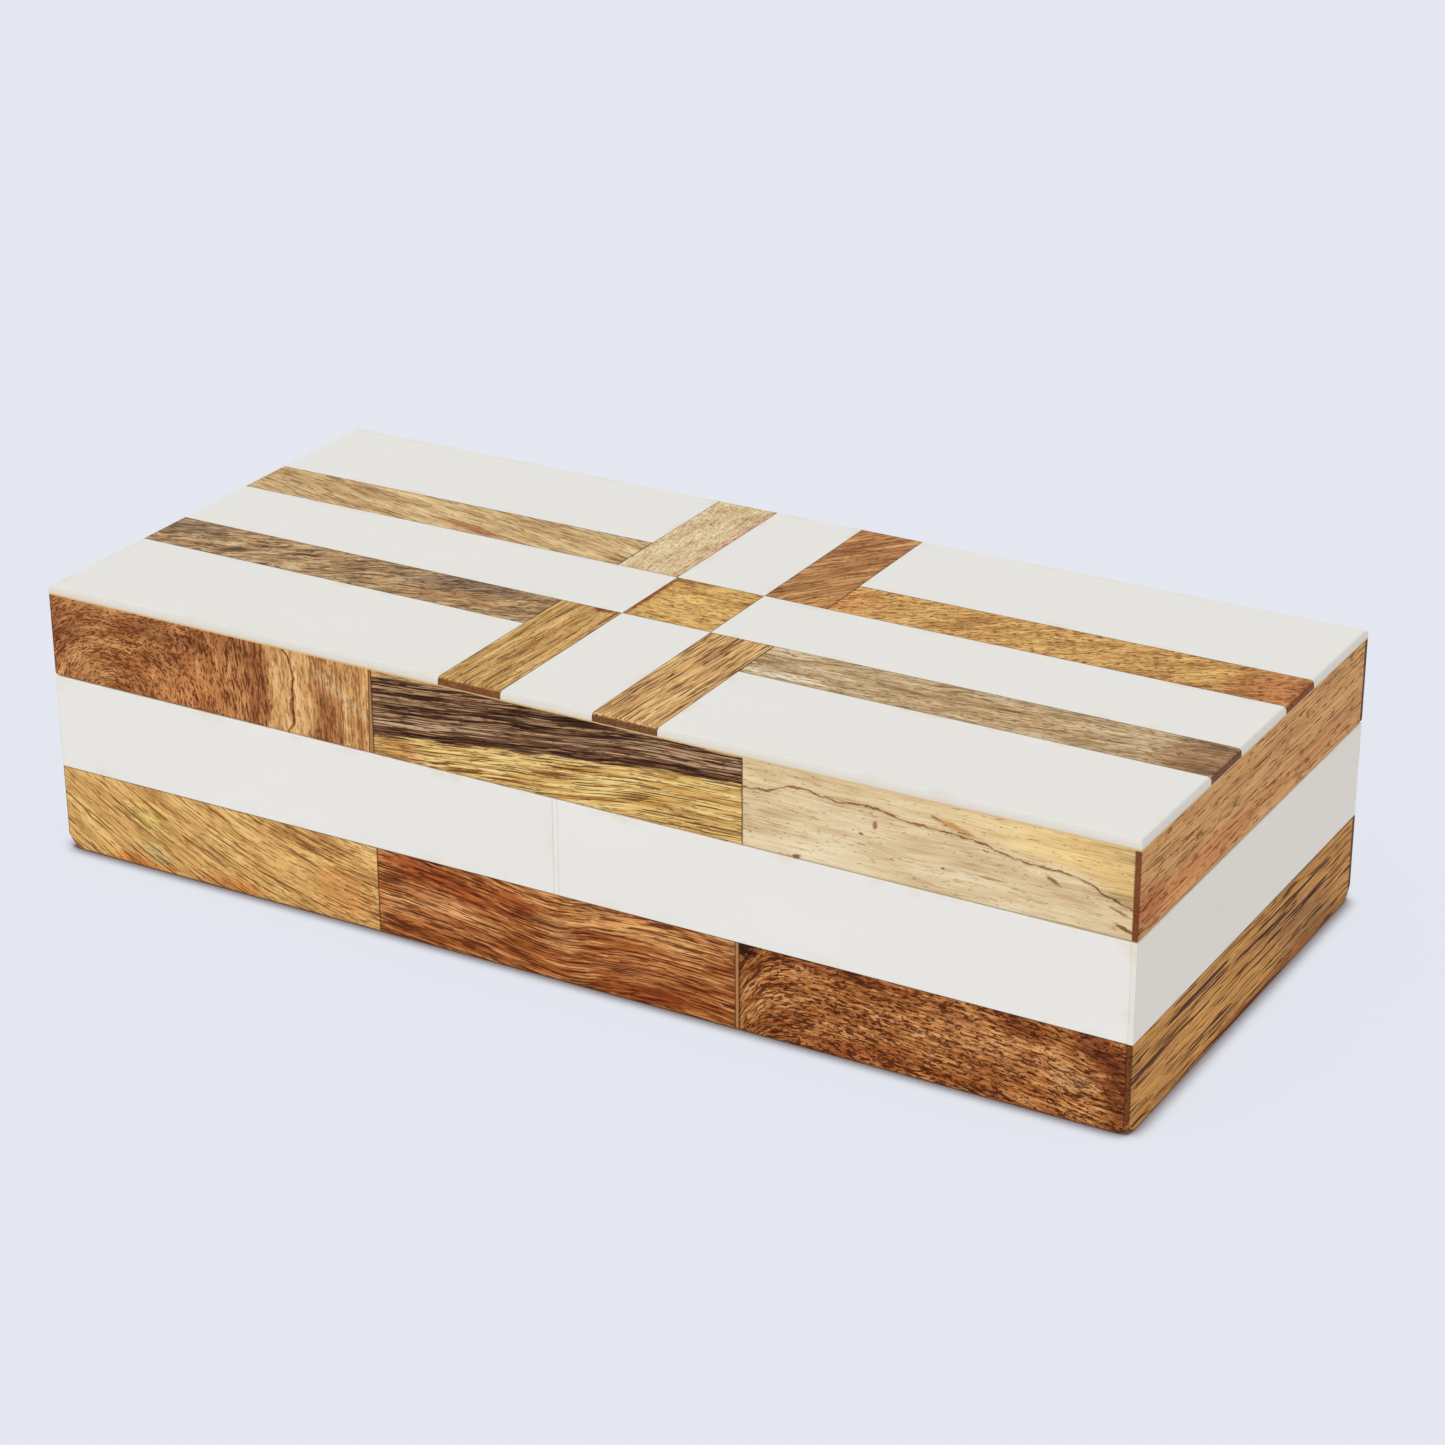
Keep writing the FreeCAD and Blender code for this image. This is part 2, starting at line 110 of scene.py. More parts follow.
class Shader:
    """A material whose nodes are made by plain calls that take and return sockets."""

    def __init__(self, name):
        self.material = bpy.data.materials.new(name)
        self.material.use_nodes = True
        self.tree = self.material.node_tree
        self.surface = self.tree.nodes["Principled BSDF"]

    def set(self, socket, value):
        if isinstance(value, bpy.types.NodeSocket):
            self.tree.links.new(value, socket)
        else:
            socket.default_value = value

    def node(self, kind, inputs=(), **settings):
        made = self.tree.nodes.new("ShaderNode" + kind)
        for name, value in settings.items():
            setattr(made, name, value)
        for key, value in dict(inputs).items():
            self.set(made.inputs[key], value)
        return made

    def math(self, operation, *values):
        return self.node("Math", enumerate(values), operation=operation).outputs[0]

    def add(self, a, b):
        return self.math("ADD", a, b)

    def sub(self, a, b):
        return self.math("SUBTRACT", a, b)

    def mul(self, a, b):
        return self.math("MULTIPLY", a, b)

    def smallest(self, a, b):
        return self.math("MINIMUM", a, b)

    def point(self, x, y, z):
        return self.node("CombineXYZ", enumerate((x, y, z))).outputs[0]

    def split(self, vector):
        return self.node("SeparateXYZ", {0: vector}).outputs

    def in_mm(self, vector):
        made = self.node("VectorMath", {0: vector, 1: (1 / MM,) * 3}, operation="MULTIPLY")
        return made.outputs[0]

    def ease(self, value, low, high, to_low=0.0, to_high=1.0):
        """A smooth step from to_low at low to to_high at high, where low may be the larger."""
        made = self.node("MapRange", {"Value": value, "From Min": low, "From Max": high,
                                      "To Min": to_low, "To Max": to_high},
                         interpolation_type="SMOOTHSTEP")
        return made.outputs[0]

    def noise(self, vector, detail=2.0, roughness=0.5, distortion=0.0):
        made = self.node("TexNoise", {"Vector": vector, "Scale": 1.0, "Detail": detail,
                                      "Roughness": roughness, "Distortion": distortion})
        return made.outputs[0]

    def curve(self, value, points, x_range, y_range=(0.0, 1.0)):
        """A curve drawn through the points given: they are (x, y) in the ranges given."""
        x_low, x_high = x_range
        y_low, y_high = y_range
        scaled = self.ramp(value, x_low, x_high)
        made = self.node("FloatCurve", {"Value": scaled})
        drawn = made.mapping.curves[0].points
        while len(drawn) < len(points):
            drawn.new(0.5, 0.5)
        for place, (x, y) in zip(drawn, points):
            place.location = ((x - x_low) / (x_high - x_low), (y - y_low) / (y_high - y_low))
        made.mapping.update()
        return self.add(self.mul(made.outputs[0], y_high - y_low), y_low)

    def ramp(self, value, low, high):
        """A straight ramp: 0 below low, 1 above high."""
        return self.node("MapRange", {"Value": value, "From Min": low, "From Max": high}).outputs[0]

    def mix(self, share, a, b, blend="MIX"):
        made = self.node("Mix", {0: share, 6: a, 7: b}, data_type="RGBA", blend_type=blend)
        return made.outputs[2]

    def bump(self, height, distance, strength):
        inputs = {"Height": height, "Distance": distance, "Strength": strength}
        return self.node("Bump", inputs).outputs[0]

    def finish(self, **inputs):
        for name, value in inputs.items():
            self.set(self.surface.inputs[name.replace("_", " ")], value)
        return self.material


class Place:
    """Where a point of a flat piece lies, in mm from its low corner: along, up and deep.

    along is measured on its longest side and deep through its thickness.
    """

    def __init__(self, shader, name):
        low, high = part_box(name)
        size = [(high[i] - low[i]) / MM for i in range(3)]
        axes = sorted(range(3), key=lambda i: -size[i])
        at = shader.node("TexCoord").outputs["Object"]
        moved = shader.node("VectorMath", {0: at, 1: low}, operation="SUBTRACT").outputs[0]
        parts = shader.split(shader.in_mm(moved))
        self.along, self.up, self.deep = (parts[i] for i in axes)
        self.length, self.height = (size[i] for i in axes[:2])
        normal = shader.split(shader.node("TexCoord").outputs["Normal"])
        self.end_face = shader.math("ABSOLUTE", normal[axes[0]])
        self.facing = shader.math("ABSOLUTE", normal[axes[2]])
        self.face = shader.ease(self.facing, 0.6, 0.9)

    def to_edge(self, shader):
        """Distance to the nearest of the piece's four sides, in mm."""
        ends = shader.smallest(self.along, shader.sub(self.length, self.along))
        sides = shader.smallest(self.up, shader.sub(self.height, self.up))
        return shader.smallest(ends, sides)


# ---------------------------------------------------------------- wood

GLUE = (222, 190, 138)              # where the top layer meets the bands, and by the white seam


@dataclass
class Wood:
    """One piece's timber. Colours are screen colours, lengths are mm along and across the grain."""
    pale: tuple
    body: tuple
    dark: tuple
    turn: float = 0.0                   # degrees from the piece's length to the grain
    bend: tuple = (0.8, 30.0)           # how far the grain wanders, and over what length
    tone: tuple = (30.0, 4.0, 1.0)      # size and weight of the paler and darker patches
    streaks: tuple = (16.0, 0.8, 1.0)   # size and weight of the middling lines
    fibre: float = 0.4                  # weight of the finest lines
    lines: tuple = (8.0, 0.38, 0.60, 0.5)  # size of the long dark lines, where they begin, how dark
    pores: tuple = (2.0, 0.36, 0.62, 0.55)   # the same for the short ones
    glints: tuple = (7.0, 0.36, 0.60, 0.30)  # the same for pale lines between them
    spread: float = 0.22                # less spread is more contrast
    seed: float = 0.0
    marks: tuple = ()                   # (along, up, length, height, tilt, colour, strength) patches
    figure: object = None               # changes the tones where only this piece differs
    flow: object = None                 # bends the grain of this piece
    filler: tuple = None                # slip of wood at the far end: width at the foot and the top


class Tones:
    """The dark, middle and pale colours that a piece's grain runs between."""

    def __init__(self, shader, wood):
        self.shader = shader
        self.colors = [linear(wood.dark), linear(wood.body), linear(wood.pale)]
        self.calm = 0.0             # how far the fine lines fade, 0 to 1

    def shift(self, share, dark, body, pale):
        self.colors = [self.shader.mix(share, old, linear(new))
                       for old, new in zip(self.colors, (dark, body, pale))]

    def tint(self, share, tint):
        self.shift(share, tuple(c * 0.6 for c in tint), tint, tuple(min(c * 1.14, 250) for c in tint))


def wood_material(name, wood):
    s = Shader(name + "_wood")
    place = Place(s, name)
    turn = math.radians(wood.turn)
    along = s.add(s.mul(place.along, math.cos(turn)), s.mul(place.up, math.sin(turn)))
    across = s.sub(s.mul(place.up, math.cos(turn)), s.mul(place.along, math.sin(turn)))
    if wood.flow:
        along, across = wood.flow(s, place)
    deep = s.add(place.deep, wood.seed * 7.3)
    reach, wave = wood.bend
    wander = s.noise(s.point(s.mul(along, 1 / wave), s.mul(across, 1.6 / wave), wood.seed), 2.0)
    across = s.add(across, s.mul(s.sub(wander, 0.5), 2 * reach))

    def grain(length, width, detail, shift, distortion=0.0):
        spot = s.point(s.add(s.mul(along, 1 / length), wood.seed + shift),
                       s.mul(across, 1 / width), s.mul(deep, 1 / width))
        return s.noise(spot, detail, 0.55, distortion)

    tones = Tones(s, wood)
    for *area, tint, strength in wood.marks:
        tones.tint(s.mul(blob(s, place, *area), strength), tint)
    if wood.figure:
        wood.figure(s, place, tones, grain)

    fibre = grain(9.0, 0.24, 2.0, 19.0)
    level = s.mul(s.sub(fibre, 0.5), wood.fibre)
    for (length, width, weight), shift in ((wood.tone, 3.0), (wood.streaks, 11.0)):
        level = s.add(level, s.mul(s.sub(grain(length, width, 2.0, shift), 0.5), weight))
    dark, body, pale = tones.colors
    color = s.mix(s.ramp(level, -wood.spread, 0.0), dark, body)
    color = s.mix(s.ramp(level, 0.0, wood.spread), color, pale)

    crowd = s.mul(s.sub(grain(12.0, 3.0, 2.0, 51.0), 0.5), 0.18)
    pore_color = s.mix(1.0, dark, (0.58, 0.40, 0.30, 1.0), "MULTIPLY")
    fine_lines = ((wood.glints, 71.0, pale), (wood.lines, 23.0, pore_color),
                  (wood.pores, 37.0, pore_color))
    for (length, width, start, depth), shift, line_color in fine_lines:
        pore = s.ease(s.add(grain(length, width, 1.0, shift, 0.15), crowd), start, start + 0.035)
        color = s.mix(s.mul(s.mul(pore, depth), s.sub(1.0, tones.calm)), color, line_color)

    # cut ends drink more finish, and a thin line of glue and dust lies along the seams
    ends = s.ease(place.end_face, 0.5, 0.9)
    end_color = linear((wood.dark[0] * 0.80, wood.dark[1] * 0.60, wood.dark[2] * 0.54))
    color = s.mix(s.mul(ends, 0.85), color, end_color)
    if wood.filler:
        color = slip(s, place, wood, color)
    ragged = s.noise(s.point(s.mul(place.along, 0.8), s.mul(place.up, 0.8), wood.seed), 3.0)
    rim = s.mul(s.ease(place.to_edge(s), 0.04, s.add(0.12, s.mul(ragged, 0.34)), 0.82, 0.0), place.face)
    color = s.mix(rim, color, linear(tuple(c * 0.5 for c in wood.dark)))
    if name.startswith("lid_band"):
        under_top = s.sub(place.height, place.up)
        glue = s.ease(under_top, 0.1, s.add(0.16, s.mul(ragged, 0.4)), 0.9, 0.0)
        color = s.mix(glue, color, linear(GLUE))

    # pore is still the last of the fine lines: the short pores, which are open and rough
    dents = s.sub(s.mul(fibre, 0.25), s.mul(pore, 0.8))
    return s.finish(Base_Color=color, Roughness=s.ease(pore, 0.0, 1.0, 0.50, 0.8),
                    Normal=s.bump(dents, 0.00008, 0.7), Specular_IOR_Level=0.07)


def slip(s, place, wood, color):
    """A thin slip of paler wood that fills the joint at the far end, dark along both its sides."""
    foot, top = wood.filler
    width = s.add(foot, s.mul(place.up, (top - foot) / place.height))
    inside = s.sub(place.along, s.sub(place.length, width))
    color = s.mix(s.ease(inside, -0.1, 0.1), color, linear((176, 124, 76)))
    return s.mix(s.ease(s.math("ABSOLUTE", inside), 0.22, 0.06, 0.0, 0.8), color, linear((74, 42, 24)))


def blob(s, place, along, up, length, height, tilt=0.0):
    """1 inside a soft ragged ellipse on the piece's face, 0 outside it."""
    c, d = math.cos(math.radians(tilt)), math.sin(math.radians(tilt))
    x, y = s.sub(place.along, along), s.sub(place.up, up)
    a = s.mul(s.add(s.mul(x, c), s.mul(y, d)), 1 / length)
    b = s.mul(s.sub(s.mul(y, c), s.mul(x, d)), 1 / height)
    away = s.math("SQRT", s.add(s.mul(a, a), s.mul(b, b)))
    ragged = s.noise(s.point(s.mul(place.along, 0.45), s.mul(place.up, 1.3), along), 4.0, 0.65)
    return s.ease(s.add(away, s.mul(s.sub(ragged, 0.5), 2.4)), 1.3, 0.5)


# How the grain of one piece bends, and what only one piece shows.

def crotch_flow(s, place):
    """Growth rings about a knot below the piece, flattened to upright arcs towards the far end."""
    squeeze = s.ease(place.along, 18.0, 52.0, 1.15, 0.42)
    x, y = s.sub(place.along, 14.0), s.mul(s.add(place.up, 4.0), squeeze)
    radius = s.math("SQRT", s.add(s.mul(x, x), s.mul(y, y)))
    return s.mul(s.math("ARCTAN2", y, x), radius), radius


# how golden the wood is along the piece: two bands side by side, then the pale end
GOLD_BANDS = [(0, 0.18), (14, 0.30), (22, 0.12), (30, 0.28), (40, 0.15), (52, 0.2), (57, 0.25),
              (58.6, 1.0), (63, 0.95), (63.8, 0.1), (64.6, 1.0), (69, 0.85), (71.5, 0.6), (75, 0.7),
              (78, 0.85), (84, 1.0)]


def crotch(s, place, tones, grain):
    """Red figured wood with upright golden bands and a thin dark ring, and pale wood beyond."""
    bulge = s.sub(place.up, 9.0)
    wander = s.noise(s.point(s.mul(place.along, 0.10), s.mul(place.up, 0.16), 1.0), 1.5)
    at = s.add(place.along, s.mul(s.mul(bulge, bulge), 0.022))
    at = s.add(at, s.mul(s.sub(wander, 0.5), 5.0))
    gold = s.curve(at, GOLD_BANDS, (0, 84))
    tones.shift(gold, (164, 104, 54), (220, 168, 106), (242, 198, 138))
    tones.calm = s.mul(gold, 0.45)
    low = s.mul(s.ease(at, 69.0, 71.0), s.mul(s.ease(at, 77.0, 73.5), s.ease(place.up, 13.0, 8.0)))
    tones.tint(s.mul(low, 0.6), (150, 80, 42))
    ring = s.ease(s.math("ABSOLUTE", s.sub(at, 63.9)), 0.5, 0.1)
    tones.tint(s.mul(ring, 0.75), (112, 56, 26))
    ray = s.add(s.sub(place.up, 18.0), s.mul(s.sub(place.along, 65.0), 0.61))
    ray = s.mul(s.ease(s.math("ABSOLUTE", ray), 2.2, 0.3), s.ease(place.along, 66.0, 70.0))
    tones.tint(s.mul(ray, 0.6), (228, 188, 134))


HEART_EDGE = [(0, 4.9), (26, 7.6), (44, 9.6), (62, 11.8), (87, 13.2)]


def above_heart(s, place):
    return s.sub(place.up, s.curve(place.along, HEART_EDGE, (0, 87), (0, 20)))


def heart_flow(s, place):
    """The grain follows the edge of the dark heartwood."""
    return place.along, above_heart(s, place)


def heartwood(s, place, tones, grain):
    """Chocolate heartwood with pale lines above a slanting edge, and yellow sapwood below it."""
    above = above_heart(s, place)
    rough = s.mul(s.sub(grain(9, 0.5, 3.0, 5.0), 0.5), 4.5)
    heart = s.ease(s.add(above, rough), -0.5, 0.35)
    tones.shift(heart, (40, 19, 9), (76, 44, 25), (184, 143, 103))
    band = s.mul(s.ease(above, 1.2, 2.4), s.ease(above, 5.4, 3.2))
    tones.shift(s.mul(band, s.mul(heart, 0.55)), (84, 50, 28), (150, 108, 74), (220, 186, 148))
    edge = s.mul(s.ease(s.add(above, rough), -0.9, 0.0), s.ease(above, 2.0, 0.5))
    tones.shift(s.mul(edge, 0.8), (40, 20, 12), (70, 36, 20), (112, 66, 38))
    rise = s.sub(place.up, s.mul(place.along, 0.1))
    sliver = s.mul(s.ease(place.along, 17.0, 14.5),
                   s.ease(rise, place.height - 1.9, place.height - 1.6))
    tones.tint(sliver, (204, 160, 106))


SPALT = [(0, 12.8), (5, 13.2), (12.5, 15.4), (18, 14.6), (21, 14.4), (27, 15.0), (35, 13.8), (50, 13.1),
         (59, 11.3), (71, 10.6), (78, 8.0), (84, 6.2)]


def spalted(s, place, tones, grain):
    """A thin wandering dark line with yellower wood above it."""
    path = s.curve(place.along, SPALT, (0, 84), (0, 20))
    jitter = s.noise(s.point(s.mul(place.along, 0.45), 3.0, 0.0), 4.0, 0.6)
    off = s.sub(s.sub(place.up, path), s.mul(s.sub(jitter, 0.5), 1.5))
    yellow = s.mul(s.ease(off, -0.5, 3.0), s.ease(place.along, 35.0, 75.0, 0.2, 0.9))
    tones.tint(yellow, (226, 188, 122))
    distance = s.math("ABSOLUTE", off)
    tones.tint(s.ease(distance, 1.0, 0.0, 0.0, 0.3), (196, 150, 96))
    width = s.ease(s.noise(s.point(s.mul(place.along, 0.3), 4.0, 0.0), 3.0), 0.38, 0.66, 0.02, 0.24)
    tones.tint(s.ease(s.sub(distance, width), 0.16, -0.02, 0.0, 0.85), (136, 84, 44))


def fan_flow(first, last):
    """The grain turns from one slope to another along the piece."""
    def flow(s, place):
        slope_first, slope_last = math.tan(math.radians(first)), math.tan(math.radians(last))
        mean = s.add(slope_first, s.mul(place.along, (slope_last - slope_first) / (2 * place.length)))
        return place.along, s.sub(place.up, s.mul(place.along, mean))
    return flow


def path_flow(points):
    """The grain follows a line drawn along the piece by points (along, up)."""
    def flow(s, place):
        path = s.curve(place.along, points, (0, points[-1][0]), (0, 20))
        return place.along, s.sub(place.up, path)
    return flow


# a dip near the middle, and a sweep up round a knot at the near top corner
SWIRL = [(0, 12.0), (12, 11.0), (26, 9.4), (36, 7.6), (44, 7.0), (54, 8.2), (66, 9.2), (78, 9.0),
         (87, 8.6)]
CORNER_KNOT = [(0, 5.0), (3, 9.5), (8, 13.2), (16, 14.6), (30, 14.0), (60, 12.0), (84, 9.0)]


GOLD = dict(pale=(232, 192, 132), body=(204, 156, 92), dark=(132, 82, 38))
RED = dict(pale=(206, 150, 102), body=(156, 94, 52), dark=(84, 40, 18))
BROWN = dict(pale=(206, 162, 114), body=(166, 116, 70), dark=(96, 56, 28))

# Down to the hidden sides, the colours aren't hand-picked values: a separate fitting program scaled
# each piece's, patches included, until its mean colour matched the real piece.
WOODS = {
    "lid_band_front_left": Wood(
        pale=(216, 150, 91), body=(164, 96, 45), dark=(107, 46, 15), seed=1.0, bend=(0.7, 16.0),
        tone=(9, 4, 0.62), streaks=(2.4, 0.7, 0.5), lines=(1.4, 0.5, 0.565, 0.8),
        pores=(0.8, 0.42, 0.565, 0.8), figure=crotch, flow=crotch_flow, filler=(1.2, 0.5),
        marks=((28, 15.5, 16, 2.0, -4, (122, 53, 22), 0.7),
               (6, 11, 8, 4, -20, (146, 71, 30), 0.5),
               (34, 5, 12, 5, 0, (194, 115, 60), 0.5),
               (50, 16, 9, 2.4, -20, (131, 60, 25), 0.6),
               (55, 8, 3, 8, 0, (140, 63, 27), 0.5))),
    "lid_band_front_middle": Wood(
        pale=(241, 215, 144), body=(214, 168, 92), dark=(130, 82, 35), seed=2.0, bend=(0.8, 24.0),
        tone=(20, 1.8, 0.5), streaks=(16, 0.5, 0.6), lines=(14.0, 0.34, 0.565, 0.85),
        pores=(2.6, 0.3, 0.6, 0.6), glints=(14.0, 0.40, 0.55, 0.9), spread=0.20, figure=heartwood,
        flow=heart_flow,
        marks=((6, 1.5, 6, 3, 0, (182, 113, 59), 0.6),
               (78, 3, 12, 2, 0, (182, 138, 82), 0.5))),
    "lid_band_front_right": Wood(
        pale=(242, 226, 191), body=(223, 199, 156), dark=(188, 152, 106), seed=3.0, bend=(1.0, 30.0),
        tone=(26, 6, 0.64), streaks=(10, 0.9, 0.28), lines=(6.0, 0.33, 0.66, 0.42),
        pores=(1.4, 0.35, 0.68, 0.57), figure=spalted,
        marks=((29, 11.2, 0.5, 1.1, 0, (152, 104, 63), 0.9),
               (26, 8.9, 0.7, 0.3, 0, (123, 81, 48), 1.0),
               (43.5, 5.8, 0.5, 0.3, 0, (133, 90, 52), 0.9),
               (66, 8.9, 1.8, 0.5, -30, (143, 100, 59), 0.9),
               (54, 6.0, 3.0, 0.2, 0, (154, 111, 75), 0.8),
               (81, 2.4, 2.6, 0.4, -18, (133, 87, 48), 0.9),
               (80, 5.6, 2.6, 0.35, -18, (143, 96, 55), 0.8),
               (12, 0.5, 1.0, 0.6, 0, (113, 75, 46), 0.9),
               (45.5, 14.9, 4.0, 0.7, -14, (195, 137, 77), 0.9),
               (42, 15.8, 1.2, 0.3, -14, (133, 87, 52), 0.9),
               (82, 12, 4, 6, 0, (203, 152, 88), 0.5))),
    "base_band_front_left": Wood(
        pale=(247, 210, 137), body=(226, 177, 105), dark=(150, 98, 43), seed=4.0, bend=(0.6, 22.0),
        tone=(14, 4, 0.5), streaks=(12.0, 0.6, 0.25), lines=(9.0, 0.42, 0.575, 0.75),
        pores=(2.6, 0.32, 0.59, 0.65), flow=fan_flow(-33, -9),
        marks=((74, 7, 9, 6, -20, (204, 131, 66), 0.6),
               (20, 1.0, 9, 1.8, 0, (221, 131, 58), 0.7),
               (45, 1.4, 9, 2.0, 0, (215, 129, 60), 0.6),
               (66, 16.5, 12, 2.0, -6, (200, 131, 66), 0.5),
               (22, 12, 5, 3, -30, (239, 206, 119), 0.7),
               (24, 4, 4, 2.5, -30, (233, 206, 139), 0.6))),
    "base_band_front_middle": Wood(
        pale=(237, 181, 118), body=(174, 100, 44), dark=(107, 47, 13), seed=5.0, bend=(0.8, 18.0),
        tone=(22, 2.2, 0.7), streaks=(12, 0.6, 0.6), lines=(9.0, 0.40, 0.56, 0.85),
        pores=(4.0, 0.34, 0.575, 0.7), flow=path_flow(SWIRL), filler=(0.9, 0.9),
        marks=((14, 16, 15, 2.4, -10, (164, 75, 27), 0.8),
               (36, 15, 10, 2.2, -14, (160, 73, 27), 0.7),
               (16, 10.5, 9, 1.6, -6, (217, 152, 97), 0.6),
               (62, 16.5, 18, 2.4, -4, (234, 170, 102), 0.7),
               (44, 11, 6, 3.0, -30, (225, 164, 102), 0.6),
               (64, 8, 10, 3, 0, (210, 133, 75), 0.6),
               (24, 3.5, 20, 2.4, -4, (166, 85, 32), 0.5),
               (66, 2.5, 16, 2.0, 6, (160, 71, 27), 0.7))),
    "base_band_front_right": Wood(
        pale=(231, 173, 108), body=(169, 100, 47), dark=(98, 45, 16), seed=6.0, bend=(0.9, 18.0),
        tone=(16, 4, 0.5), streaks=(3.2, 0.6, 0.7), lines=(2.2, 0.44, 0.565, 0.85),
        pores=(1.2, 0.40, 0.57, 0.86), flow=path_flow(CORNER_KNOT),
        marks=((1.2, 19.0, 3.0, 2.2, 10, (49, 23, 8), 1.0),
               (24, 18.6, 20, 1.6, 0, (138, 68, 27), 0.7),
               (54, 12, 12, 3.6, -12, (215, 149, 93), 0.5),
               (72, 9, 6, 2.5, -8, (234, 175, 114), 0.6),
               (62, 17, 6, 2.5, 0, (131, 62, 25), 0.7),
               (78, 16, 7, 3.5, -30, (116, 52, 20), 0.8),
               (82, 8, 3, 9, 0, (114, 52, 20), 0.8),
               (30, 2, 24, 2.2, 0, (161, 80, 32), 0.5))),
    "lid_band_right": Wood(
        pale=(239, 187, 123), body=(208, 152, 90), dark=(131, 79, 39), seed=7.0, tone=(30.0, 4.0, 0.3),
        streaks=(18.0, 0.6, 0.2), lines=(18.0, 0.55, 0.605, 0.55), pores=(4.0, 0.46, 0.60, 0.65),
        marks=((30, 4.5, 36, 3.0, 0, (210, 132, 73), 0.7),
               (5, 6, 8, 5, 0, (182, 103, 54), 0.7),
               (86, 4.5, 24, 2.6, 0, (212, 138, 80), 0.6))),
    "base_band_right": Wood(
        pale=(244, 186, 97), body=(196, 135, 64), dark=(108, 65, 24), seed=8.0, bend=(0.8, 30.0),
        tone=(26.0, 3.0, 0.3), streaks=(24.0, 0.6, 0.2), lines=(30.0, 0.80, 0.575, 1.0),
        pores=(12.0, 0.50, 0.59, 0.85),
        marks=((88, 6.5, 22, 6, -14, (154, 105, 57), 0.6),
               (70, 1.0, 45, 1.6, 0, (160, 91, 43), 0.7),
               (14, 5, 10, 2, 0, (237, 173, 83), 0.5))),
    "top_wood_middle": Wood(
        pale=(245, 203, 127), body=(219, 173, 97), dark=(144, 94, 42), turn=90, seed=9.0,
        bend=(0.5, 10.0), tone=(10, 3, 0.64), streaks=(4.5, 0.7, 0.43), lines=(2.2, 0.47, 0.58, 0.64),
        pores=(1.6, 0.38, 0.6, 0.66),
        marks=((11, 0.2, 14, 1.0, 0, (153, 65, 27), 0.9),
               (14, 11, 6, 4, 0, (240, 190, 105), 0.4))),
    "top_wood_left_front": Wood(
        pale=(228, 199, 151), body=(185, 146, 100), dark=(96, 67, 43), turn=20, seed=10.0,
        bend=(2.4, 12.0), tone=(9, 2.6, 0.72), streaks=(7, 0.8, 0.62), lines=(3.4, 0.49, 0.575, 0.69),
        pores=(1.8, 0.41, 0.59, 0.57),
        marks=((78, 12, 15, 4.5, 8, (130, 103, 83), 0.7),
               (5, 10, 9, 4, 0, (130, 107, 85), 0.65),
               (80, 5, 16, 4, 8, (185, 139, 89), 0.5))),
    "top_wood_left_back": Wood(
        pale=(241, 216, 163), body=(211, 175, 121), dark=(147, 106, 63), turn=-12, seed=11.0,
        bend=(1.0, 22.0), tone=(18, 3.0, 0.56), streaks=(10, 0.6, 0.57), lines=(6.0, 0.44, 0.59, 0.59),
        pores=(2.7, 0.35, 0.61, 0.57),
        marks=((60, 3.0, 8, 1.4, -14, (196, 117, 70), 0.7),)),
    "top_wood_right_front": Wood(
        pale=(231, 209, 172), body=(199, 168, 124), dark=(130, 99, 65), turn=6, seed=12.0,
        bend=(1.4, 14.0), tone=(12, 3, 0.64), streaks=(8, 0.7, 0.57), lines=(3.8, 0.47, 0.59, 0.59),
        pores=(1.6, 0.38, 0.6, 0.57),
        marks=((98, 7, 10, 9, 60, (152, 107, 67), 0.75),
               (52, 7, 26, 5, 0, (195, 157, 104), 0.55),
               (8, 2.5, 10, 1.6, 0, (242, 225, 193), 0.7))),
    "top_wood_right_back": Wood(
        pale=(246, 204, 129), body=(212, 163, 92), dark=(145, 90, 42), turn=30, seed=13.0,
        bend=(2.0, 12.0), tone=(12, 4, 0.64), streaks=(4.5, 0.8, 0.57), lines=(2.1, 0.54, 0.58, 0.64),
        pores=(1.4, 0.45, 0.585, 0.66),
        marks=((98, 7, 12, 10, 60, (183, 109, 59), 0.75),
               (3, 5, 6, 9, 0, (204, 132, 72), 0.6))),
    "top_wood_front_left": Wood(
        pale=(243, 203, 136), body=(209, 164, 95), dark=(135, 90, 41), turn=2, seed=14.0,
        bend=(0.6, 20.0), tone=(22, 2.0, 0.64), streaks=(16, 0.6, 0.45), lines=(12.0, 0.36, 0.57, 0.75),
        pores=(2.3, 0.35, 0.6, 0.57),
        marks=((46.5, 10.5, 1.8, 3.5, 0, (143, 68, 28), 0.9),
               (30, 8, 16, 0.9, 0, (184, 115, 59), 0.6))),
    "top_wood_front_right": Wood(
        pale=(244, 217, 152), body=(228, 177, 112), dark=(112, 69, 36), turn=3, seed=15.0,
        bend=(0.5, 20.0), tone=(22, 3.0, 0.4), streaks=(14, 0.55, 0.4), lines=(14.0, 0.36, 0.57, 0.85),
        pores=(5.0, 0.32, 0.585, 0.66)),
    "top_wood_back_left": Wood(
        pale=(248, 232, 194), body=(223, 197, 151), dark=(174, 131, 85), seed=16.0, bend=(0.4, 16.0),
        tone=(9, 3.0, 0.56), streaks=(3, 0.7, 0.38), lines=(1.8, 0.47, 0.6, 0.49),
        pores=(1.0, 0.41, 0.6, 0.52),
        marks=((24, 14.2, 22, 1.2, 0, (227, 173, 140), 0.7),)),
    "top_wood_back_right": Wood(
        pale=(227, 175, 115), body=(184, 124, 72), dark=(115, 63, 29), turn=40, seed=17.0,
